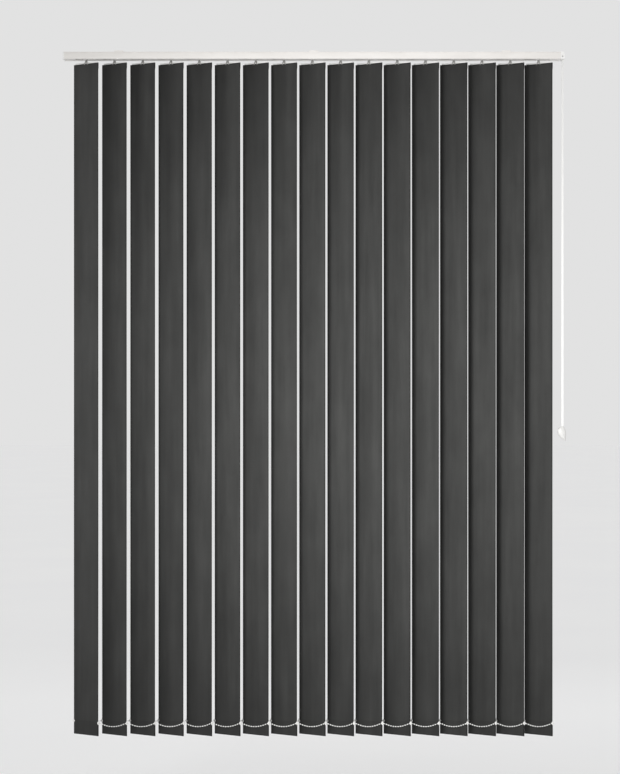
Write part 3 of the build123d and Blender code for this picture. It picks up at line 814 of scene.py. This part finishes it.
# ---------- traverse cord and its weight ----------
flare_z = weight_top - 3 * mm
straight = 6 * cord_diameter
half_loop = [
    (strand_half, rail_low.z),
    (strand_half, rail_low.z - straight),
    (strand_half, flare_z + straight),
    (strand_half, flare_z),
    (weight_pulley_radius, weight_pulley_z + 1 * mm),
    (weight_pulley_radius, weight_pulley_z - weight_pulley_radius),
]
loop_route = [(cord_x + reach, cord_y, z) for reach, z in half_loop]
loop_route += [(cord_x - reach, cord_y, z) for reach, z in reversed(half_loop)]
cord_line = evenly(read_spline(loop_route), cord_step)


def braid_radius(i, a):
    """The strands of the braid, which cross each other round the cord."""
    along = i * cord_step / mm
    weave = math.cos(4 * a + along * 1.5) * math.cos(4 * a - along * 1.5)
    return cord_diameter / 2 * (0.955 + 0.045 * weave)


cord_mesh = tube("cord", cord_line, braid_radius, 16, Vector((0, 1, 0)))
cord = new_piece("traverse_cord_braided", cord_mesh, 60)
cord.data.materials.append(cord_finish)
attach(cord, "rail")
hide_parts("traverse_cord_loop")

# The cord weight's outline, in millimetres from the cord's centre line and its own top.
leaf_side = [(3.0, -1.2), (6.0, -6.1), (8.4, -12.2), (9.5, -19.0), (9.4, -25.5), (8.6, -31.0),
             (8.2, -36.5)]
leaf_tip = [(8.0, -39.6), (7.3, -40.2), (5.9, -39.3)]
leaf_under = [(1.0, -36.4), (-4.0, -33.0), (-8.2, -28.3), (-11.3, -23.0), (-13.4, -17.8),
              (-13.8, -13.6), (-12.4, -8.7), (-9.6, -5.0), (-6.4, -2.6), (-3.0, -1.2)]


def leaf_outline():
    """The weight's outline in metres, drawn smoothly through its corners."""
    corners = [(0, -0.2)] + leaf_side + leaf_tip + leaf_under
    corners = [Vector((x * mm, z * mm)) for x, z in corners]
    outline, count = [], len(corners)
    for k in range(count):
        a, b, c, d = (corners[(k + s) % count] for s in (-1, 0, 1, 2))
        for s in range(4):
            t = s / 4
            quadratic, cubic = 2 * a - 5 * b + 4 * c - d, 3 * b - a - 3 * c + d
            outline.append(0.5 * (2 * b + (c - a) * t + quadratic * t**2 + cubic * t**3))
    return outline


def weight_shell_mesh(side):
    """Half of the leaf-shaped weight: a crowned face with a soft ridge, and a hollow behind it."""
    outline = leaf_outline()
    middle = Vector((-1.2 * mm, -17.5 * mm))
    crown, lean, ridge_reach = 6.3 * mm, 0.28, 12 * mm
    parting = 0.1 * mm
    # Each level is the outline drawn in towards the middle, to that share of its size.
    levels = [1.0, 0.995, 0.97, 0.92, 0.84, 0.74, 0.62, 0.48, 0.33, 0.17, 0.0]
    hollow_levels = [0.86, 0.8, 0.62, 0.4, 0.0]

    def outer(share, place):
        """The crowned face: round at its rim, highest along a ridge that leans with the leaf."""
        ridge = abs(place.x - middle.x - lean * (middle.y - place.y)) / ridge_reach
        return crown * (0.26 + 0.74 * (1 - share**2.4) ** 0.62) * (1 - 0.16 * ridge * (1 - share))

    rings = []
    for share in levels:
        ring = [middle + (p - middle) * share for p in outline]
        rim = 0.0 if share == 1.0 else 1.0
        rings.append([(p.x, side * (parting + rim * outer(share, p)), p.y) for p in ring])
    rings = rings[::-1]
    for share in hollow_levels:
        depth = 0.0 if share == hollow_levels[0] else crown * 0.66 * (1 - share**3) ** 0.5
        ring = [middle + (p - middle) * share for p in outline]
        rings.append([(p.x, side * (parting + depth), p.y) for p in ring])
    throat, throat_half_width, throat_foot = cord_diameter / 2 + 0.45 * mm, 3.1 * mm, -6.5 * mm
    points = []
    for ring in rings:
        for x, y, z in ring:
            if abs(x) < throat_half_width and z > throat_foot and abs(y) < throat:
                y = side * throat
            points.append((cord_x + x, cord_y + y, weight_top + z))
    return mesh_of("weight_shell", points, ring_faces(len(rings), len(outline)))


for node, side in (("cord_weight_front", -1), ("cord_weight_back", 1)):
    shell = new_piece(node + "_shell", weight_shell_mesh(side), 50)
    shell.data.materials.append(weight_white_painted_shade)
    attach(shell, "rail")
    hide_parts(node)

# ---------- studio ----------
floor_reach = 60
floor_drop = 300 * mm
square = [(-1, -1), (1, -1), (1, 1), (-1, 1)]
floor_corners = [(x * floor_reach, y * floor_reach, 0) for x, y in square]
floor_mesh = mesh_of("floor", floor_corners, [(0, 1, 2, 3)])
floor = bpy.data.objects.new("studio_floor", floor_mesh)
bpy.context.scene.collection.objects.link(floor)
floor.location.z = fabric_bottom - floor_drop
floor.data.materials.append(pale_floor())

world = bpy.data.worlds.new("studio")
world.use_nodes = True
world.node_tree.nodes["Background"].inputs["Color"].default_value = (1.0, 1.0, 1.0, 1)
world.node_tree.nodes["Background"].inputs["Strength"].default_value = 0.76
bpy.context.scene.world = world


def add_light(name, kind, power, place, target, **settings):
    """A light in its place, pointed at its target and hidden from the camera."""
    light = bpy.data.lights.new(name, kind)
    light.energy = power
    for setting, value in settings.items():
        setattr(light, setting, value)
    lamp = bpy.data.objects.new(name, light)
    lamp.location = place
    lamp.rotation_euler = (Vector(target) - Vector(place)).to_track_quat("-Z", "Y").to_euler()
    lamp.visible_camera = False
    bpy.context.scene.collection.objects.link(lamp)


add_light("key", "SPOT", 560, (-0.8, -3.0, -0.70), (0.20, 0, -0.98),
          shadow_soft_size=0.55, spot_size=math.radians(42), spot_blend=1.0)
add_light("back", "AREA", 10, (0.6, 3.2, 0.8), (0, 0, -0.8),
          shape="RECTANGLE", size=2.4, size_y=2.4)
add_light("overhead", "SUN", 0.18, (0, 0, 3), (0, 0, 0), angle=math.radians(30))

# ---------- camera ----------
camera = bpy.data.cameras.new("camera")
camera.lens = 106.2
camera.sensor_width = 36.0
camera.shift_x = -0.00362
camera.shift_y = 0.02196
camera_object = bpy.data.objects.new("camera", camera)
camera_object.location = (-2.35 * mm, -6.3, -0.972)
camera_object.rotation_euler = (math.pi / 2, 0, 0)
bpy.context.scene.collection.objects.link(camera_object)
bpy.context.scene.camera = camera_object
bpy.context.scene.view_settings.view_transform = "Standard"
